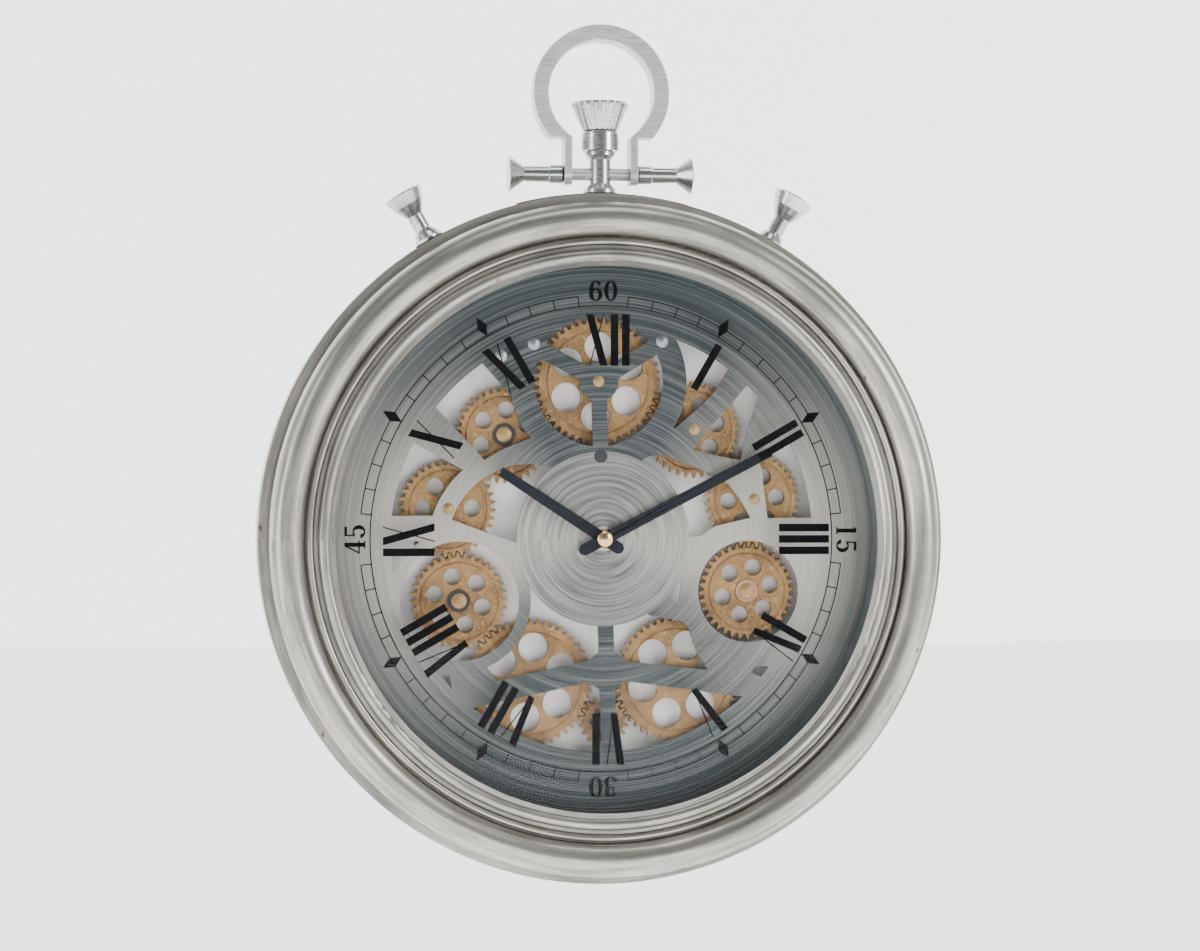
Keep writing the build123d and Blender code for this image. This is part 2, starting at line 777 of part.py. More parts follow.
def case_brackets():
    """Welded angles that carry the panel; the screws pass through their tabs."""
    out_r = CASE_R - SHEET
    brackets = []
    for a in bracket_angles():
        tab = Pos(out_r - BRACKET_REACH / 2, 0) * Rectangle(BRACKET_REACH, BRACKET_W)
        tab &= Circle(out_r)
        tab -= Pos(out_r - BRACKET_REACH + 5, 0) * Circle(SCREW_R + CLEARANCE)
        foot = Pos(out_r - SHEET / 2, 0) * Rectangle(3 * SHEET, BRACKET_W)
        foot &= Circle(out_r) - Circle(out_r - SHEET)
        bracket = plate(Rot(0, 0, a) * tab, PANEL_Y + SHEET, PANEL_Y)
        brackets.append(bracket + plate(Rot(0, 0, a) * foot, PANEL_Y + 10, PANEL_Y))
    return together(brackets)


def panel_screws():
    """Edge screws bear on the brackets, and the others on the panel, behind the pillars."""
    screws = []
    for k, (x, z) in enumerate(screw_places()):
        seat = PANEL_Y + SHEET if k < BRACKET_COUNT else PANEL_Y
        head = disc(SCREW_HEAD_R, x, z, seat + SCREW_HEAD_T, seat)
        head -= plate(Pos(x, z) * Rectangle(2 * SCREW_HEAD_R + 1, 0.9), seat + SCREW_HEAD_T, seat + 0.9)
        screws.append(head + disc(SCREW_R, x, z, seat, PANEL_Y - SCREW_LEN))
    return together(screws)


def hanger_bracket():
    """Plate under the back rim, with a keyhole for a hook or a screw head."""
    middle_z = HANGER_TOP - HANGER_H / 2
    outline = Pos(0, middle_z) * RectangleRounded(HANGER_W, HANGER_H, 4)
    outline &= Circle(CASE_R - SHEET - 1)
    slot_top = KEYHOLE_Z + KEYHOLE_RISE
    outline -= Pos(0, KEYHOLE_Z) * Circle(KEYHOLE_R)
    outline -= Pos(0, (KEYHOLE_Z + slot_top) / 2) * Rectangle(2 * KEYHOLE_SLOT_R, KEYHOLE_RISE)
    outline -= Pos(0, slot_top) * Circle(KEYHOLE_SLOT_R)
    return plate(outline, -SHEET, -SHEET - HANGER_T)


# ---------------------------------------------------------------- movement and hands


def movement_housing():
    tub = plate(RectangleRounded(MOVE_SIZE, MOVE_SIZE, 4), MOVE_BACK - MOVE_WALL, DIAL_Y)
    inner = MOVE_SIZE - 2 * MOVE_WALL
    tub -= plate(RectangleRounded(inner, inner, 2.5), MOVE_BACK, DIAL_Y + MOVE_WALL)
    tube = disc(TUBE_R, 0, 0, DIAL_Y, DIAL_FRONT - NUT_T - WASHER_T - 0.6)
    bore = disc(HOUR_TUBE_R + RUN_FIT, 0, 0, 0, -60)
    return tub + tube - bore


def movement_cover():
    cover = plate(RectangleRounded(MOVE_SIZE, MOVE_SIZE, 4), MOVE_BACK, MOVE_BACK - MOVE_WALL)
    cover -= disc(MINUTE_SHAFT_R + RUN_FIT, 0, 0, 0, -60)
    return cover - plate(Pos(0, CELL_Z) * Rectangle(CELL_LEN + 1, 2 * CELL_R + 1), 0, -60)


def cell(x, z, mid_y):
    """AA cell lying along X, its positive button to the right."""
    body = Pos(x, mid_y, z) * Rot(0, 90, 0) * Cylinder(CELL_R, CELL_LEN - 1.2)
    button = Pos(x + CELL_LEN / 2 - 0.6, mid_y, z) * Rot(0, 90, 0) * Cylinder(2.6, 1.2)
    return body + button


def movement_battery():
    return cell(0, CELL_Z, DIAL_Y + MOVE_WALL + CLEARANCE + CELL_R)


def movement_washer():
    ring = Circle(NUT_R + 0.8) - Circle(TUBE_R + CLEARANCE)
    return plate(ring, DIAL_FRONT, DIAL_FRONT - WASHER_T)


def movement_nut():
    seat = DIAL_FRONT - WASHER_T
    return plate(RegularPolygon(NUT_R, 6) - Circle(TUBE_R), seat, seat - NUT_T)


def hour_tube():
    ring = Circle(HOUR_TUBE_R) - Circle(MINUTE_SHAFT_R + RUN_FIT)
    return plate(ring, DIAL_Y + 8, HOUR_HAND_Y - HAND_T)


def minute_shaft():
    return disc(MINUTE_SHAFT_R, 0, 0, MOVE_BACK + AXIAL_GAP, MINUTE_HAND_Y - HAND_T)


def setting_knob():
    """Knurled wheel on the shaft behind the movement."""
    seat = MOVE_BACK + AXIAL_GAP
    wheel = Circle(KNOB_R)
    for k in range(18):
        wheel -= Pos(*polar(KNOB_R + 0.3, 20 * k)) * Circle(0.8)
    return plate(wheel, seat + KNOB_T, seat)


def hand(length, tail, at, bore_r, back_y):
    """Straight bar with a chamfered tail and a slightly narrower tip."""
    half = HAND_W / 2
    outline = make_face(
        Polyline(
            (half, -tail + 2.5),
            (half - 2.0, -tail),
            (-half + 2.0, -tail),
            (-half, -tail + 2.5),
            (-half, 0),
            (-half * 0.8, length),
            (half * 0.8, length),
            (half, 0),
            close=True,
        )
    )
    outline -= Circle(bore_r)
    return plate(Rot(0, 0, -at) * outline, back_y, back_y - HAND_T)


def hour_hand():
    return hand(HOUR_LEN, HOUR_TAIL, HOUR_AT, HOUR_TUBE_R, HOUR_HAND_Y)


def minute_hand():
    return hand(MINUTE_LEN, MINUTE_TAIL, MINUTE_AT, MINUTE_SHAFT_R, MINUTE_HAND_Y)


def hands_cap():
    seat = MINUTE_HAND_Y - HAND_T
    return disc(HANDS_CAP_R, 0, 0, seat, seat - 1.2) + dome(HANDS_CAP_R, HANDS_CAP_T - 1.2, 0, 0, seat - 1.2)


# ---------------------------------------------------------------- gear motor, battery holder, switch


def motor_housing(places):
    x, z = places["drive_pinion"][0]
    back = PANEL_Y + MOTOR_DEPTH
    case = plate(Pos(x, z) * RectangleRounded(MOTOR_W, MOTOR_H, 3), back, PANEL_Y)
    inner = Pos(x, z) * RectangleRounded(MOTOR_W - 3, MOTOR_H - 3, 2)
    case -= plate(inner, back - SHEET, PANEL_Y + SHEET)
    return case - disc(PINION_SHAFT_R + RUN_FIT, x, z, PANEL_Y + SHEET + 1, PANEL_Y - 1)


def motor_can(places):
    """Small direct-current motor, lying above the drive shaft inside the gearbox."""
    x, z = places["drive_pinion"][0]
    top = z + MOTOR_H / 2 - 2 - MOTOR_CAN_R
    mid_y = PANEL_Y + MOTOR_DEPTH / 2
    return Pos(x, mid_y, top) * Rot(0, 90, 0) * Cylinder(MOTOR_CAN_R, MOTOR_CAN_LEN)


def battery_holder():
    back = PANEL_Y + HOLDER_DEPTH
    tray = plate(Pos(0, HOLDER_Z) * RectangleRounded(HOLDER_W, HOLDER_H, 2), back, PANEL_Y)
    w, h = HOLDER_W - 2 * HOLDER_WALL, HOLDER_H - 2 * HOLDER_WALL
    return tray - plate(Pos(0, HOLDER_Z) * Rectangle(w, h), back + 1, PANEL_Y + HOLDER_WALL)


def motor_batteries():
    mid_y = PANEL_Y + HOLDER_WALL + CELL_R
    low = cell(0, HOLDER_Z - CELL_R - 0.1, mid_y)
    high = Pos(0, 0, HOLDER_Z + CELL_R + 0.1) * Rot(0, 180, 0) * cell(0, 0, mid_y)
    return together([low, high])


def switch_body():
    """Open-backed frame in which the slider travels up and down."""
    back = PANEL_Y + SWITCH_DEPTH
    frame = plate(Pos(SWITCH_X, HOLDER_Z) * Rectangle(SWITCH_W, SWITCH_H), back, PANEL_Y)
    slot_h = SLIDER_H + SWITCH_TRAVEL + 2 * SIDE_GAP
    slot = Pos(SWITCH_X, HOLDER_Z) * Rectangle(SLIDER_W + 2 * SIDE_GAP, slot_h)
    return frame - plate(slot, back + 1, PANEL_Y + 3)


def switch_slider():
    low = HOLDER_Z - SWITCH_TRAVEL / 2
    back = PANEL_Y + SWITCH_DEPTH + 2.5
    return plate(Pos(SWITCH_X, low) * Rectangle(SLIDER_W, SLIDER_H), back, PANEL_Y + 3 + SIDE_GAP)


def lead(points, bend=9.0):
    path = FilletPolyline(*points, radius=bend) if len(points) > 2 else Line(*points)
    section = Plane(origin=path @ 0, z_dir=path % 0) * Circle(LEAD_R)
    return sweep(section, path=path)


def motor_leads(places):
    """Insulated wires along the panel: motor to holder, holder to switch, switch to motor."""
    x, z = places["drive_pinion"][0]
    y = PANEL_Y + LEAD_R + 0.1
    left, right = x - MOTOR_W / 2, x + MOTOR_W / 2
    down_left = lead([(left, y, z), (-42, y, z - 14), (-42, y, -52), (-HOLDER_W / 2, y, HOLDER_Z)])
    switch_top = (SWITCH_X, y, HOLDER_Z + SWITCH_H / 2)
    down_right = lead([(right, y, z), (SWITCH_X, y, z - 16), switch_top])
    link = lead([(HOLDER_W / 2, y, HOLDER_Z), (SWITCH_X - SWITCH_W / 2, y, HOLDER_Z)])
    return together([down_left, down_right, link])


# ---------------------------------------------------------------- crown, bow, pushers


def on_top(profile):
    """Turned piece on the top of the case, from its half section: x radius, y height above the case."""
    return Pos(0, CROWN_Y, CASE_R) * revolve(Plane.XZ * profile, Axis.Z)


def half_section(*points):
    return make_face(Polyline(*points, close=True))


def case_cylinder(radius):
    return Rot(90, 0, 0) * Cylinder(radius, 200)


def saddle_plate():
    """Curved plate on the rim, under the crown."""
    a = SADDLE_HALF_ANGLE
    far = CASE_R + 40
    wedge = make_face(Polyline((0, 0), polar(far, 90 + a), polar(far, 90 - a), close=True))
    ring = Circle(CASE_R + SADDLE_T) - Circle(CASE_R)
    body = plate(ring & wedge, CROWN_Y + SADDLE_W / 2, CROWN_Y - SADDLE_W / 2)
    return body - stud_holes()[1]


def gasket(radius, seat):
    top = seat + STEM_GASKET_T
    hole = STUD_R + CLEARANCE
    ring = on_top(half_section((hole, -1), (radius, -1), (radius, top), (hole, top)))
    return ring - case_cylinder(CASE_R + seat)


def stem_gaskets():
    pusher = gasket(PUSHER_FOOT_R + 0.6, 0)
    pieces = [gasket(STEM_FOOT_R + 0.6, SADDLE_T)]
    pieces += [Rot(0, a, 0) * pusher for a in (-PUSHER_AT, PUSHER_AT)]
    return together(pieces)


def stem_nuts():
    """Hexagon nuts on the studs, inside the case."""
    seat = CASE_R - SHEET - 0.6
    nut = extrude(RegularPolygon(STUD_NUT_R, 6) - Circle(STUD_R), -STUD_NUT_T)
    placed = Pos(0, CROWN_Y, seat) * nut
    return together([Rot(0, a, 0) * placed for a in (-PUSHER_AT, 0, PUSHER_AT)])


def crown_stem():
    foot = SADDLE_T + STEM_GASKET_T
    shoulder = foot + STEM_FOOT_T
    top = STEM_TOP + COLLAR_T
    stem = on_top(
        half_section(
            (0, foot - STUD_LEN),
            (STUD_R, foot - STUD_LEN),
            (STUD_R, foot),
            (STEM_FOOT_R, foot),
            (STEM_FOOT_R, shoulder),
            (STEM_R, shoulder + 3.4),
            (STEM_R, STEM_TOP - 4.5),
            (COLLAR_R - 2.0, STEM_TOP - 2.0),
            (COLLAR_R - 2.0, STEM_TOP),
            (COLLAR_R, STEM_TOP + 0.8),
            (COLLAR_R, top - 0.8),
            (COLLAR_R - 0.8, top),
            (0, top),
        )
    )
    return stem - Pos(0, CROWN_Y, BAR_Z) * Rot(0, 90, 0) * Cylinder(BAR_R, 60)


def crown_knob():
    """Flared knob with flutes cut along its slope."""
    foot = STEM_TOP + COLLAR_T
    top = foot + KNOB_H
    knob = on_top(
        half_section(
            (0, foot),
            (KNOB_FOOT_R - 1.2, foot),
            (KNOB_FOOT_R, foot + 1.2),
            (KNOB_TOP_R - 0.6, top - 2.4),
            (KNOB_TOP_R, top - 1.4),
            (KNOB_TOP_R - 1.0, top),
            (KNOB_TOP_R - 4.0, top),
            (KNOB_TOP_R - 6.0, top - 1.6),
            (0, top - 1.6),
        )
    )
    slope = KNOB_H / (KNOB_TOP_R - KNOB_FOOT_R)
    start = Vector(KNOB_FOOT_R + 0.4 - 4 / slope, 0, foot - 4)
    axis = Plane(origin=start, x_dir=(0, 1, 0), z_dir=(1, 0, slope))
    groove = Pos(0, CROWN_Y, CASE_R) * extrude(axis * Circle(1.15), amount=KNOB_H + 10)
    for k in range(FLUTE_COUNT):
        knob -= Pos(0, CROWN_Y, 0) * Rot(0, 0, 360 / FLUTE_COUNT * k) * Pos(0, -CROWN_Y, 0) * groove
    return knob


def cross_bar():
    reach = BAR_HALF - BAR_END_CONE
    return Pos(0, CROWN_Y, BAR_Z) * Rot(0, 90, 0) * Cylinder(BAR_R, 2 * reach)


def cross_bar_ends():
    """Sleeve and flared end in one turned piece, screwed on each end of the bar."""
    near = BOW_LEG_X + BOW_LEG_W / 2 + SIDE_GAP
    cone = BAR_HALF - BAR_END_CONE
    profile = half_section(
        (BAR_R, near),
        (SLEEVE_R - 0.8, near),
        (SLEEVE_R, near + 0.8),
        (SLEEVE_R, near + 8),
        (SLEEVE_R - 0.6, near + 8.6),
        (SLEEVE_R - 0.9, cone),
        (BAR_END_R - 0.4, BAR_HALF - 1.0),
        (BAR_END_R, BAR_HALF - 0.5),
        (BAR_END_R - 0.5, BAR_HALF),
        (0, BAR_HALF),
        (0, cone),
        (BAR_R, cone),
    )
    end = revolve(Plane.XZ * profile, Axis.Z)
    at = Pos(0, CROWN_Y, BAR_Z)
    return together([at * Rot(0, a, 0) * end for a in (-90, 90)])


def bow():
    """Flat-faced loop on two legs, which hang on the cross bar."""
    loop_z = CASE_R + BOW_ABOVE_CASE
    leg_top = CASE_R + BOW_LEG_TOP
    in_r = BOW_OUT_R - BOW_W
    loop = Circle(BOW_OUT_R) - Circle(in_r)
    gap_half = BOW_LEG_X - BOW_LEG_W / 2
    gap = Pos(0, -BOW_OUT_R) * Rectangle(2 * gap_half, 2 * (BOW_OUT_R - in_r) + 12)
    outline = Pos(0, loop_z) * (loop - gap)
    side = gap_half + BOW_LEG_W
    outline -= Pos(0, leg_top - 60) * Rectangle(2 * side + 60, 120)
    for x in (-BOW_LEG_X, BOW_LEG_X):
        outline += Pos(x, (leg_top + BAR_Z) / 2) * Rectangle(BOW_LEG_W, leg_top - BAR_Z)
    body = plate(outline, CROWN_Y + BOW_DEPTH / 2, CROWN_Y - BOW_DEPTH / 2)
    for x in (-BOW_LEG_X, BOW_LEG_X):
        eye = Pos(x, CROWN_Y, BAR_Z) * Rot(0, 90, 0) * Cylinder(BOW_DEPTH / 2, BOW_LEG_W)
        body += eye
    low = Pos(0, CROWN_Y, BAR_Z - BOW_LEG_END - 10) * Box(100, 60, 20)
    return body - low - Pos(0, CROWN_Y, BAR_Z) * Rot(0, 90, 0) * Cylinder(BAR_R + RUN_FIT, 100)


def pusher(angle):
    foot = STEM_GASKET_T
    top = foot + PUSHER_H
    neck = PUSHER_NECK_R
    shape = on_top(
        half_section(
            (0, foot - STUD_LEN),
            (STUD_R, foot - STUD_LEN),
            (STUD_R, foot),
            (PUSHER_FOOT_R, foot),
            (PUSHER_FOOT_R, foot + 1.6),
            (neck + 1.8, foot + 4.6),
            (neck, foot + 7.0),
            (neck, top - PUSHER_HEAD_H),
            (0.62 * PUSHER_HEAD_R, top - 0.76 * PUSHER_HEAD_H),
            (0.79 * PUSHER_HEAD_R, top - 0.52 * PUSHER_HEAD_H),
            (PUSHER_HEAD_R, top - 0.8),
            (PUSHER_HEAD_R - 0.8, top),
            (0, top),
        )
    )
    return Rot(0, angle, 0) * shape


def build():
    places = lay_out_train()
    nodes = {
        "case_shell": case_shell(),
        "outer_bezel": outer_bezel(),
        "inner_bezel": inner_bezel(),
        "glass_gasket": glass_gasket(),
        "front_glass": front_glass(),
        "glass_retaining_ring": glass_retaining_ring(),
        "hour_numerals": hour_numerals(),
        "dial_plate": dial_plate(places),
        "minute_track": minute_track(),
        "minute_numbers": minute_numbers(),
        "dial_screws": dial_screws(),
        "dial_pillars": dial_pillars(),
        "back_panel": back_panel(places),
        "case_brackets": case_brackets(),
        "panel_screws": panel_screws(),
        "hanger_bracket": hanger_bracket(),
        "gear_posts": gear_posts(places),
        "post_heads": post_heads(places),
        "boss_washers": together([boss_washer(name, places) for name in IN_WINDOW[:2]]),
        "copper_washer": boss_washer(IN_WINDOW[2], places),
        "drive_pinion": drive_pinion(places),
        "drive_bush": drive_bush(places),
        "motor_housing": motor_housing(places),
        "motor_can": motor_can(places),
        "motor_leads": motor_leads(places),
        "battery_holder": battery_holder(),
        "motor_batteries": motor_batteries(),
        "switch_body": switch_body(),
        "switch_slider": switch_slider(),
        "movement_housing": movement_housing(),
        "movement_cover": movement_cover(),
        "movement_battery": movement_battery(),
        "movement_washer": movement_washer(),
        "movement_nut": movement_nut(),
        "hour_tube": hour_tube(),
        "minute_shaft": minute_shaft(),
        "setting_knob": setting_knob(),
        "hour_hand": hour_hand(),
        "minute_hand": minute_hand(),
        "hands_cap": hands_cap(),
        "saddle_plate": saddle_plate(),
        "stem_gaskets": stem_gaskets(),
        "stem_nuts": stem_nuts(),
        "crown_stem": crown_stem(),
        "crown_knob": crown_knob(),
        "cross_bar": cross_bar(),
        "cross_bar_ends": cross_bar_ends(),
        "bow": bow(),
        "left_pusher": pusher(-PUSHER_AT),
        "right_pusher": pusher(PUSHER_AT),
    }
    for name in TRAIN:
        if name != "drive_pinion":
            nodes[name] = gear(name, places)
    return nodes


os.makedirs("parts", exist_ok=True)
for node, shape in build().items():
    export_step(shape, os.path.join("parts", node + ".step"))
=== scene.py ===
# %% [markdown]
# # A skeleton wall clock, finished in Blender
# The clock is a large pocket watch for a wall: a brushed nickel case, a pierced steel dial, bronze gears
# that turn behind it, and an aluminium crown with a bow. Its working model comes from CAD as a fixed frame.
# Here we give it its looks: softened edges where the light would catch them, and a finish on every piece
# that is worked out by nodes, with no pictures.

# %% Load the frame
import math

import bpy
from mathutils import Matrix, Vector


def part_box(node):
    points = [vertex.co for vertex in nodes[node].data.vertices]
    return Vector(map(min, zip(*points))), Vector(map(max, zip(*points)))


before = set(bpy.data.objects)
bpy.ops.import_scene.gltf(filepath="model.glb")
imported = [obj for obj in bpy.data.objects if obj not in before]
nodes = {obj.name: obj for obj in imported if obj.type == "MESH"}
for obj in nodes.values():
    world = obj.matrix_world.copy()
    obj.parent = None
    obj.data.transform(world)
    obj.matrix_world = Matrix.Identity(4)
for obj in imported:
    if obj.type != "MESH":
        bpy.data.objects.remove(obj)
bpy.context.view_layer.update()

MM = 0.001

# %% [markdown]
# ## Sizes that the finishes need
# A turned piece shows circles round its own axis, so a finish has to know where that axis is.
# We could write it down by hand, but it is read from the box of a CAD node, which keeps both models
# in step. The dial's solid centre is only a part of one node, so its radius is written here.

# %% Read the sizes
DISC_R = 50.8 * MM
bar_low, bar_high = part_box("cross_bar")
crown_y = (bar_low.y + bar_high.y) / 2
print("crown axis", round(crown_y / MM, 1), "mm from the wall, centre disc", DISC_R / MM, "mm")

# %% [markdown]
# ## The camera
# A clock on a wall is seen from a few paces away and a little to its left, so a long lens
# keeps the rings round. It is made first, because every finish is judged through it.

# %% Make the camera
VIEW_AZIMUTH = -8.0
VIEW_DISTANCE = 1.85
VIEW_HEIGHT = 0.0368
PICTURE_WIDTH = 0.6985
SENSOR = 36
camera_data = bpy.data.cameras.new("camera")
camera = bpy.data.objects.new("camera", camera_data)
bpy.context.scene.collection.objects.link(camera)
bpy.context.scene.camera = camera
turn = math.radians(VIEW_AZIMUTH)
aim = Vector((-1.5 * MM, -30 * MM, VIEW_HEIGHT))
camera.location = aim + VIEW_DISTANCE * Vector((math.sin(turn), -math.cos(turn), 0))
camera.rotation_mode = "QUATERNION"
camera.rotation_quaternion = (aim - camera.location).to_track_quat("-Z", "Y")
camera_data.sensor_width = SENSOR
camera_data.lens = SENSOR * VIEW_DISTANCE / PICTURE_WIDTH
print("lens", round(camera_data.lens, 1), "mm")

# %% [markdown]
# ## Node helpers
# A metal finish is a few ideas in a row: where on the piece we are, a grain that follows the tool,
# a slow change of tone, and small marks of wear. The helpers below add and join the nodes,
# so that each finish can be read as a short recipe.

# %% Helpers for node trees
class Recipe:
    """A material's node tree, with short ways to add nodes."""

    def __init__(self, name):
        self.material = bpy.data.materials.new(name)
        self.material.use_nodes = True
        self.tree = self.material.node_tree
        self.shader = self.tree.nodes["Principled BSDF"]
        self.place = self.add("ShaderNodeTexCoord").outputs["Object"]

    def add(self, kind, **settings):
        node = self.tree.nodes.new(kind)
        for key, value in settings.items():
            setattr(node, key, value)
        return node

    def plug(self, value, socket):
        if isinstance(value, bpy.types.NodeSocket):
            self.tree.links.new(value, socket)
        else:
            socket.default_value = value

    def math(self, operation, a, b=0.0):
        node = self.add("ShaderNodeMath", operation=operation)
        self.plug(a, node.inputs[0])
        self.plug(b, node.inputs[1])
        return node.outputs[0]

    def blend(self, a, share, b, other_share):
        """Adds two values, each times its share."""
        return self.math("ADD", self.math("MULTIPLY", a, share), self.math("MULTIPLY", b, other_share))

    def split(self, vector):
        node = self.add("ShaderNodeSeparateXYZ")
        self.plug(vector, node.inputs[0])
        return node.outputs

    def join(self, x, y, z):
        node = self.add("ShaderNodeCombineXYZ")
        for value, socket in zip((x, y, z), node.inputs):
            self.plug(value, socket)
        return node.outputs[0]

    def noise(self, vector, scale, detail=4.0, roughness=0.55):
        node = self.add("ShaderNodeTexNoise")
        self.plug(vector, node.inputs["Vector"])
        node.inputs["Scale"].default_value = scale
        node.inputs["Detail"].default_value = detail
        node.inputs["Roughness"].default_value = roughness
        return node.outputs["Fac"]

    def stops(self, value, stops):
        """A colour ramp from a list of (position, grey or colour)."""
        node = self.add("ShaderNodeValToRGB")
        self.plug(value, node.inputs[0])
        ramp = node.color_ramp
        while len(ramp.elements) < len(stops):
            ramp.elements.new(0.5)
        for element, (position, colour) in zip(ramp.elements, stops):
            element.position = position
            tone = colour if isinstance(colour, tuple) else (colour,) * 3
            element.color = (*tone, 1)
        return node.outputs[0]

    def mix(self, factor, a, b):
        node = self.add("ShaderNodeMix", data_type="RGBA")
        self.plug(factor, node.inputs["Factor"])
        for value, socket in ((a, node.inputs["A"]), (b, node.inputs["B"])):
            self.plug(value if isinstance(value, bpy.types.NodeSocket) else (*value, 1), socket)
        return node.outputs["Result"]

    def bump(self, height, strength, distance=0.0002):
        node = self.add("ShaderNodeBump")
        node.inputs["Strength"].default_value = strength
        node.inputs["Distance"].default_value = distance
        self.plug(height, node.inputs["Height"])
        self.plug(node.outputs[0], self.shader.inputs["Normal"])

    def paint_hollow_shade(self, colour, shade_colour, reach=2.0 * MM, strength=0.8):
        """Paints shade into a colour where the surface is closed in, as in a groove or beside a seam."""
        node = self.add("ShaderNodeAmbientOcclusion", samples=8)
        node.inputs["Distance"].default_value = reach
        closed = self.stops(node.outputs["AO"], [(0.35, 1.0), (0.85, 0.0)])
        return self.mix(self.math("MULTIPLY", closed, strength), colour, shade_colour)

    def finish(self, colour, metallic=1.0, roughness=0.35):
        self.plug(colour, self.shader.inputs["Base Color"])
        self.shader.inputs["Metallic"].default_value = metallic
        self.plug(roughness, self.shader.inputs["Roughness"])
        return self.material


print("node helpers ready")

# %% [markdown]
# ## Circles of the lathe
# Turned and spun metal carries the marks of its tool, which run in circles round its axis. A wave pattern
# could draw them, but it looks too even. We take noise that is squeezed along the radius and stretched
# along the angle, so that no two circles are alike.

# %% Grain that runs round an axis
def round_grain(recipe, axis="y", centre=(0.0, 0.0, 0.0), across=900.0, along=1.2):
    """Returns the grain, the radius and the angle round an axis."""
    x, y, z = recipe.split(recipe.place)
    a = recipe.math("SUBTRACT", x, centre[0])
    b = recipe.math("SUBTRACT", z, centre[2]) if axis == "y" else recipe.math("SUBTRACT", y, centre[1])
    depth = y if axis == "y" else z
    squares = recipe.math("ADD", recipe.math("MULTIPLY", a, a), recipe.math("MULTIPLY", b, b))
    radius = recipe.math("SQRT", squares)
    angle = recipe.math("ARCTAN2", b, a)
    path = recipe.join(
        recipe.math("MULTIPLY", radius, across),
        recipe.math("MULTIPLY", depth, across),
        recipe.math("MULTIPLY", angle, along),
    )
    return recipe.noise(path, 1.0, 5.0, 0.6), radius, angle


print("grain helper ready")

# %% [markdown]
# ## Case finish: antique brushed nickel
# The case is spun sheet, plated in nickel and rubbed back by hand, so it is a warm grey with pale streaks,
# small scratches and a few brown specks where the plating is thin. Ambient occlusion finds the narrow
# places between two rings, and we paint shade into those.

# %% Make the case finish
SPECK_BROWN = (0.16, 0.10, 0.06)
SCRATCH_PALE = (0.66, 0.65, 0.61)
SEAM_SHADE_GREY = (0.16, 0.15, 0.135)


def nickel(name, light=(0.52, 0.50, 0.455), dark=(0.20, 0.192, 0.17), rough=0.30):
    r = Recipe(name)
    grain, radius, angle = round_grain(r, across=420.0, along=5.0)
    cloud = r.noise(r.place, 9.0, 5.0, 0.6)
    tone = r.blend(grain, 0.55, cloud, 0.45)
    colour = r.mix(r.stops(tone, [(0.38, 0.0), (0.64, 1.0)]), dark, light)
    specks = r.stops(r.noise(r.place, 170.0, 3.0, 0.7), [(0.30, 1.0), (0.35, 0.0)])
    patches = r.stops(r.noise(r.place, 12.0, 2.0), [(0.50, 0.0), (0.62, 1.0)])
    colour = r.mix(r.math("MULTIPLY", specks, patches), colour, SPECK_BROWN)
    scratch_path = r.join(r.math("MULTIPLY", angle, 3.0), r.math("MULTIPLY", radius, 260.0), cloud)
    scratches = r.stops(r.noise(scratch_path, 3.0, 8.0, 0.75), [(0.30, 1.0), (0.34, 0.0)])
    colour = r.mix(r.math("MULTIPLY", scratches, 0.5), colour, SCRATCH_PALE)
    # painted shade in the seams between the rings
    colour = r.paint_hollow_shade(colour, SEAM_SHADE_GREY, 2.0 * MM, 0.5)
    r.bump(r.blend(grain, 0.6, scratches, 0.4), 0.22)
    return r.finish(colour, 0.92, r.stops(tone, [(0.3, rough + 0.12), (0.7, rough - 0.04)]))


case_finish = nickel("brushed nickel")
# a darker, bluer copy of the nickel: painted shade for the inner wall, the glass retaining ring
wall_shade_finish = nickel("shaded nickel", (0.30, 0.36, 0.36), (0.16, 0.20, 0.21), 0.38)
print("made", case_finish.name, "and", wall_shade_finish.name)

# %% [markdown]
# ## Aluminium of the crown, the bow and the pushers
# These are turned or cut from bright aluminium, so the grain is finer and paler.
# The turned pieces have it round the axis of the crown, and the bow, cut from thick sheet,
# has it in short straight strokes.

# %% Make the aluminium
def aluminium(
    name, centre=None, light=(0.66, 0.67, 0.69), dark=(0.36, 0.37, 0.39), rough=0.25, metal=0.75
):
    r = Recipe(name)
    if centre is None:
        x, y, z = r.split(r.place)
        stroke, across = 90.0, 900.0
        path = r.join(
            r.math("MULTIPLY", x, stroke), r.math("MULTIPLY", y, across), r.math("MULTIPLY", z, across)
        )
        grain = r.noise(path, 1.0, 4.0, 0.6)
    else:
        grain = round_grain(r, "z", centre, 1100.0, 2.0)[0]
    cloud = r.noise(r.place, 45.0, 4.0)
    tone = r.blend(grain, 0.6, cloud, 0.4)
    colour = r.mix(r.stops(tone, [(0.34, 0.0), (0.62, 1.0)]), dark, light)
    r.bump(tone, 0.18)
    # painted shade in the hollows of the crown, bow and pushers
    colour = r.paint_hollow_shade(colour, (0.10, 0.10, 0.11))
    return r.finish(colour, metal, r.stops(cloud, [(0.3, rough + 0.1), (0.7, rough - 0.03)]))


bow_finish = aluminium("brushed aluminium", metal=0.45)
crown_axis = (0.0, crown_y, 0.0)
turned_finish = aluminium(
    "turned aluminium", crown_axis, (0.70, 0.72, 0.73), (0.22, 0.23, 0.24), 0.20, 1.0
)
print("made", bow_finish.name, "and", turned_finish.name)

# %% [markdown]
# ## Dial steel
# The dial is brushed in circles, and brushed metal throws light back in a fan, bright to the left and right
# and dark above and below. A true fan would need far finer grooves than a picture can hold, so we paint it
# by angle, cool grey-green in the dark part, and add the rings of the brush. The centre disc is brushed
# in rings of its own, which show more, and the edge lies in the shade of the bezel.

# %% Make the dial steel
FAN_DARK, FAN_BRIGHT = (0.036, 0.048, 0.052), (0.43, 0.415, 0.37)
RING_DARK, RING_PALE = (0.14, 0.145, 0.14), (0.46, 0.455, 0.43)
EDGE_SHADE = (0.028, 0.045, 0.050)
BRUSH_GLINT = (0.80, 0.80, 0.78)


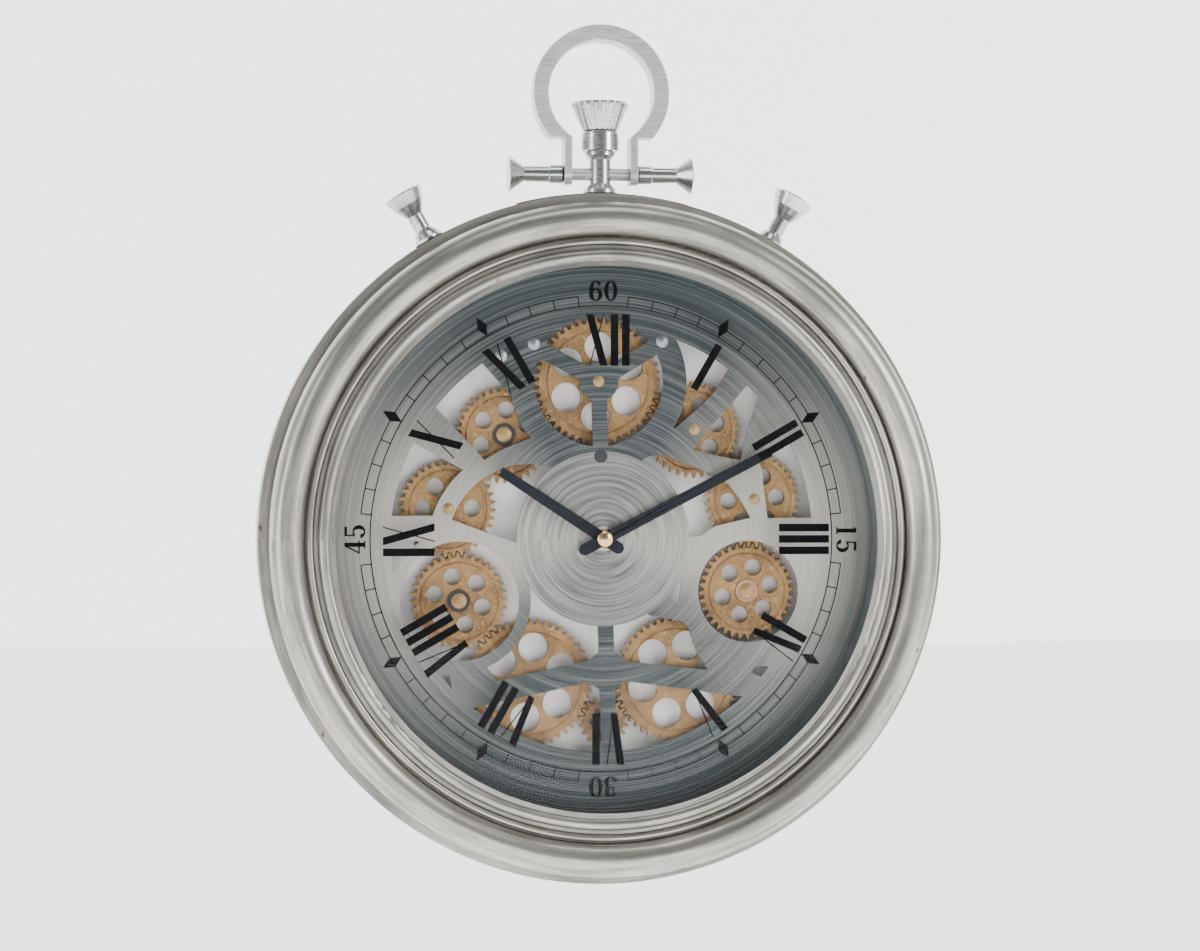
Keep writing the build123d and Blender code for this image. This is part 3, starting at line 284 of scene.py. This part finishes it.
def dial_steel():
    r = Recipe("dial steel")
    grain, radius, angle = round_grain(r, across=1100.0, along=0.8)
    ring_path = r.join(r.math("MULTIPLY", radius, 520.0), 0.0, r.math("MULTIPLY", angle, 0.6))
    coarse = r.noise(ring_path, 1.0, 3.0, 0.6)
    two_fans = r.math("COSINE", r.math("MULTIPLY", angle, 2.0))
    swing = r.math("ADD", two_fans, r.math("MULTIPLY", coarse, 0.22))
    brightness = r.math("ADD", r.math("MULTIPLY", swing, 0.5), 0.42)
    fan = r.stops(brightness, [(0.22, 0.0), (0.60, 0.30), (1.0, 1.0)])
    colour = r.mix(fan, FAN_DARK, FAN_BRIGHT)
    edge = r.stops(r.math("MULTIPLY", radius, 6.0), [(0.76, 0.0), (0.95, 1.0)])
    colour = r.mix(r.math("MULTIPLY", edge, 0.6), colour, EDGE_SHADE)
    in_disc = r.math("LESS_THAN", radius, DISC_R)
    rings = r.stops(coarse, [(0.38, 0.0), (0.62, 1.0)])
    disc = r.mix(rings, RING_DARK, RING_PALE)
    colour = r.mix(r.math("MULTIPLY", in_disc, 0.55), colour, disc)
    # painted glints along the brush grain
    colour = r.mix(r.stops(grain, [(0.45, 0.0), (0.75, 0.22)]), colour, BRUSH_GLINT)
    r.bump(r.math("ADD", grain, r.math("MULTIPLY", coarse, 0.5)), 0.25)
    # painted shade in the dial's cut-outs and other hollows
    colour = r.paint_hollow_shade(colour, (0.03, 0.03, 0.03))
    return r.finish(colour, 0.6, r.stops(grain, [(0.3, 0.46), (0.7, 0.34)]))


dial_finish = dial_steel()
print("made", dial_finish.name)

# %% [markdown]
# ## Bronze of the gears
# The gears wear a thin bronze paint over a rough casting: tan on the high places, brown in the groove,
# with a fine speckle. A mix of three noises at different sizes gives that worn look, and the brown in the
# groove is patina with painted shade over it.

# %% Make the gear bronze
RUBBED_TAN = (0.62, 0.44, 0.24)
GROOVE_PATINA_AND_SHADE = (0.035, 0.018, 0.008)


def bronze(name, light=(0.38, 0.225, 0.09), dark=(0.10, 0.052, 0.02), rough=0.42):
    r = Recipe(name)
    fine = r.noise(r.place, 900.0, 4.0, 0.7)
    cloud = r.noise(r.place, 60.0, 4.0, 0.6)
    tone = r.blend(fine, 0.5, cloud, 0.5)
    colour = r.mix(r.stops(tone, [(0.34, 0.0), (0.58, 1.0)]), dark, light)
    rub = r.stops(r.noise(r.place, 260.0, 3.0), [(0.58, 0.0), (0.70, 1.0)])
    colour = r.mix(r.math("MULTIPLY", rub, 0.5), colour, RUBBED_TAN)
    # brown patina with painted shade, in the groove and other hollows of the gear
    colour = r.paint_hollow_shade(colour, GROOVE_PATINA_AND_SHADE, 1.6 * MM, 0.92)
    r.bump(tone, 0.5, 0.0004)
    return r.finish(colour, 0.45, r.stops(fine, [(0.3, rough + 0.15), (0.7, rough - 0.08)]))


gear_finish = bronze("gear bronze")
copper_finish = bronze("pink copper", (0.50, 0.30, 0.20), (0.26, 0.13, 0.08))
print("made", gear_finish.name, "and", copper_finish.name)

# %% [markdown]
# ## One recipe for the plain stuffs
# The rest are plain stuffs, yet none is a flat colour: each has a cloud of tone, a fine grain
# and an uneven gloss. A material made by hand for each would repeat the same nodes, so one recipe,
# with its colours, metal share and roughness as values, makes them all.

# %% A recipe for plain stuffs
def plain(name, light, dark, metallic=0.0, rough=0.4, size=300.0, bump=0.2, gloss=0.5):
    r = Recipe(name)
    r.shader.inputs["Specular IOR Level"].default_value = gloss
    fine = r.noise(r.place, size, 5.0, 0.6)
    cloud = r.noise(r.place, 25.0, 3.0)
    tone = r.blend(fine, 0.5, cloud, 0.5)
    colour = r.mix(r.stops(tone, [(0.35, 0.0), (0.65, 1.0)]), dark, light)
    r.bump(fine, bump)
    dull, bright = min(1.0, rough + 0.1), max(0.05, rough - 0.08)
    return r.finish(colour, metallic, r.stops(tone, [(0.3, dull), (0.7, bright)]))


print("plain recipe ready")

# %% [markdown]
# ## Small metals
# Brass, steel and the worn heads of the gear posts are the small metals. The heads use the bronze recipe,
# because they are as rough as the gears they hold.

# %% Make the small metals
head_finish = bronze("worn brass", (0.42, 0.27, 0.11), (0.20, 0.12, 0.05), 0.40)
screw_finish = plain("blued steel", (0.36, 0.38, 0.40), (0.20, 0.22, 0.24), 0.8, 0.38, 700.0)
brass_finish = plain("polished brass", (0.88, 0.66, 0.34), (0.60, 0.40, 0.17), 1.0, 0.22, 500.0)
steel_finish = plain("plain steel", (0.74, 0.74, 0.74), (0.50, 0.51, 0.52), 1.0, 0.30, 700.0)
print("made four small metals")

# %% [markdown]
# ## Paints and plastics
# Ink and enamel are near black, so even a little gloss would turn them grey over a bright floor.
# Their gloss is turned down, and the other paints and plastics keep the usual one.

# %% Make the paints and plastics
ink_finish = plain(
    "black ink", (0.006, 0.006, 0.007), (0.002, 0.002, 0.003), 0.0, 0.6, 900.0, 0.1, 0.05
)
enamel_finish = plain(
    "blue black enamel", (0.012, 0.016, 0.023), (0.005, 0.007, 0.011), 0.0, 0.38, 500.0, 0.1, 0.2
)
black_finish = plain(
    "black plastic", (0.030, 0.030, 0.032), (0.014, 0.014, 0.015), 0.0, 0.48, 1200.0, 0.4
)
white_finish = plain("white plastic", (0.84, 0.84, 0.82), (0.74, 0.74, 0.72), 0.0, 0.4, 900.0)
panel_finish = plain("white paint", (0.93, 0.93, 0.92), (0.86, 0.86, 0.855), 0.0, 0.5, 600.0, 0.15)
rubber_finish = plain(
    "black rubber", (0.022, 0.022, 0.022), (0.010, 0.010, 0.010), 0.0, 0.7, 900.0, 0.4
)
jacket_finish = plain(
    "green cell jacket", (0.06, 0.24, 0.13), (0.03, 0.15, 0.08), 0.0, 0.3, 200.0, 0.05
)
lead_finish = plain("red insulation", (0.50, 0.04, 0.03), (0.34, 0.02, 0.02), 0.0, 0.35, 600.0)
print("made eight paints and plastics")

# %% [markdown]
# ## Glass
# A flat pane lies over the dial. Glass could be made with transmission, but then the lamps hardly reach
# what lies behind it. A mirror that is almost wholly see-through sends back a trace of the room
# and leaves the dial lit. Faint smears, from a soft noise, blur it here and there.

# %% Make the glass
MIRROR_SHARE = 0.006


def pane():
    r = Recipe("flat glass")
    smear = r.noise(r.place, 14.0, 4.0)
    tint = r.mix(smear, (0.97, 0.99, 0.985), (0.90, 0.95, 0.94))
    material = r.finish(tint, 1.0, r.stops(smear, [(0.4, 0.01), (0.75, 0.05)]))
    r.shader.inputs["Alpha"].default_value = MIRROR_SHARE
    return material


glass_finish = pane()
print("made", glass_finish.name)

# %% [markdown]
# ## Give every CAD node its finish
# Each CAD node gets one finish. We list the nodes under their finish, which shows at a glance what is made
# of the same stuff, and a last line tells us if a node was left out.

# %% Assign the finishes
finishes = {
    case_finish: ["case_shell", "outer_bezel", "inner_bezel", "saddle_plate"],
    wall_shade_finish: ["glass_retaining_ring"],
    bow_finish: ["bow", "cross_bar"],
    turned_finish: ["crown_stem", "crown_knob", "cross_bar_ends", "left_pusher", "right_pusher"],
    dial_finish: ["dial_plate"],
    gear_finish: [name for name in nodes if name.endswith("_gear")],
    copper_finish: ["copper_washer"],
    head_finish: ["post_heads"],
    screw_finish: ["dial_screws"],
    brass_finish: ["drive_pinion", "minute_shaft", "movement_nut", "hands_cap"],
    steel_finish: ["gear_posts", "dial_pillars", "panel_screws", "stem_nuts", "movement_washer",
                   "hanger_bracket", "case_brackets", "motor_can"],
    glass_finish: ["front_glass"],
    ink_finish: ["hour_numerals", "minute_track", "minute_numbers"],
    enamel_finish: ["hour_hand", "minute_hand"],
    black_finish: ["movement_housing", "movement_cover", "motor_housing", "battery_holder", "switch_body",
                   "setting_knob", "drive_bush", "boss_washers"],
    white_finish: ["hour_tube", "switch_slider"],
    panel_finish: ["back_panel"],
    rubber_finish: ["glass_gasket", "stem_gaskets"],
    jacket_finish: ["movement_battery", "motor_batteries"],
    lead_finish: ["motor_leads"],
}
for material, names in finishes.items():
    for name in names:
        mesh = nodes[name].data
        mesh.materials.clear()
        mesh.materials.append(material)
left_out = set(nodes) - {name for names in finishes.values() for name in names}
print("finishes on all nodes:", not left_out, left_out)

# %% [markdown]
# ## Break the sharp edges
# The CAD meshes stay as they are. A weld joins their split edges, a tiny bevel breaks the sharp ones,
# and weighted normals keep flats flat: three modifiers that change the shown mesh and leave the CAD alone.

# %% Break the sharp edges
WELD_GAP = 0.01 * MM
SHARP_FROM = math.radians(35)


def soften(name, width, segments=2):
    """Weld, bevel and weighted normals on a CAD node, as modifiers."""
    piece = nodes[name]
    weld = piece.modifiers.new("weld", "WELD")
    weld.merge_threshold = WELD_GAP
    bevel = piece.modifiers.new("edges", "BEVEL")
    bevel.width = width
    bevel.segments = segments
    bevel.limit_method = "ANGLE"
    bevel.angle_limit = SHARP_FROM
    bevel.use_clamp_overlap = True
    normals = piece.modifiers.new("normals", "WEIGHTED_NORMAL")
    normals.keep_sharp = False


for name in finishes[gear_finish]:
    soften(name, 0.22 * MM)
for name in ("hour_hand", "minute_hand", "saddle_plate"):
    soften(name, 0.2 * MM)
soften("bow", 0.5 * MM)
soften("dial_plate", 0.15 * MM, 1)
print("softened", sum(1 for piece in nodes.values() if piece.modifiers.get("edges")), "nodes")

# %% [markdown]
# ## Studio floor
# The clock hangs above a pale floor. A plain floor would be darker than the white room behind it,
# and a hard line would run across the view. This one glows of its own, so that the line almost goes.

# %% Make the floor
FLOOR_Z = -0.55
FLOOR_HALF = 9.0
FLOOR_GLOW = 1.6


def floor():
    mesh = bpy.data.meshes.new("floor")
    h, z = FLOOR_HALF, FLOOR_Z
    mesh.from_pydata([(-h, -h, z), (h, -h, z), (h, h, z), (-h, h, z)], [], [(0, 1, 2, 3)])
    piece = bpy.data.objects.new("floor", mesh)
    bpy.context.scene.collection.objects.link(piece)
    paint = plain("pale floor", (0.90, 0.90, 0.895), (0.86, 0.86, 0.855), 0.0, 0.8, 40.0, 0.05)
    shader = paint.node_tree.nodes["Principled BSDF"]
    shader.inputs["Emission Color"].default_value = (1, 1, 1, 1)
    shader.inputs["Emission Strength"].default_value = FLOOR_GLOW
    mesh.materials.append(paint)


floor()
print("floor at", FLOOR_Z, "m")

# %% [markdown]
# ## Room
# A round metal ring shows the room it stands in, so the room needs bright and dark parts.
# It is white behind the clock, dim behind the viewer, and pale to the left and right.
# A picture of a real room would do this too, but a few sums on the direction are enough and stay smooth.

# %% Make the room
WALL_LIGHT = 0.7
LOW_LIGHT = 0.2
DIM_LIGHT = 0.20
BACK_LIGHT = 3.0
BACK_FROM, BACK_FULL = 0.10, 0.60


def room():
    world = bpy.data.worlds.new("room")
    bpy.context.scene.world = world
    world.use_nodes = True
    tree = world.node_tree
    back = tree.nodes["Background"]
    back.inputs["Color"].default_value = (1, 1, 1, 1)
    place = tree.nodes.new("ShaderNodeTexCoord")
    split = tree.nodes.new("ShaderNodeSeparateXYZ")
    tree.links.new(place.outputs["Generated"], split.inputs[0])

    def calc(operation, a, b):
        node = tree.nodes.new("ShaderNodeMath")
        node.operation = operation
        for value, socket in zip((a, b), node.inputs):
            if isinstance(value, bpy.types.NodeSocket):
                tree.links.new(value, socket)
            else:
                socket.default_value = value
        return node.outputs[0]

    x, y, z = split.outputs
    sides = calc("MULTIPLY", calc("MULTIPLY", x, x), WALL_LIGHT)
    low = calc("MULTIPLY", calc("MAXIMUM", calc("MULTIPLY", z, -1.0), 0.0), LOW_LIGHT)
    front = calc("ADD", calc("ADD", sides, low), DIM_LIGHT)
    behind = tree.nodes.new("ShaderNodeMapRange")
    behind.interpolation_type = "SMOOTHSTEP"
    behind.inputs["From Min"].default_value = BACK_FROM
    behind.inputs["From Max"].default_value = BACK_FULL
    tree.links.new(y, behind.inputs[0])
    lit = calc("MULTIPLY", behind.outputs[0], BACK_LIGHT)
    tree.links.new(calc("ADD", front, lit), back.inputs["Strength"])


room()
print("room lit up to", BACK_LIGHT)

# %% [markdown]
# ## Lamps
# A big soft lamp stands at the right, a weaker one at the left, and one above. Soft lamps are large,
# because a small one would leave hard spots on turned metal.

# %% Make the lamps
def lamp(name, place, target, size, power):
    data = bpy.data.lights.new(name, "AREA")
    data.shape = "RECTANGLE"
    data.size, data.size_y = size
    data.energy = power
    piece = bpy.data.objects.new(name, data)
    bpy.context.scene.collection.objects.link(piece)
    piece.location = place
    piece.rotation_euler = (Vector(target) - Vector(place)).to_track_quat("-Z", "Y").to_euler()


lamp("right lamp", (1.7, -1.5, 0.75), (0, 0, 0), (0.8, 1.2), 34)
lamp("left lamp", (-1.9, -1.0, 0.2), (0, 0, 0), (0.5, 1.8), 14)
lamp("top lamp", (0.1, -0.9, 2.0), (0, 0, 0.1), (1.4, 0.5), 10)
print("three lamps on")
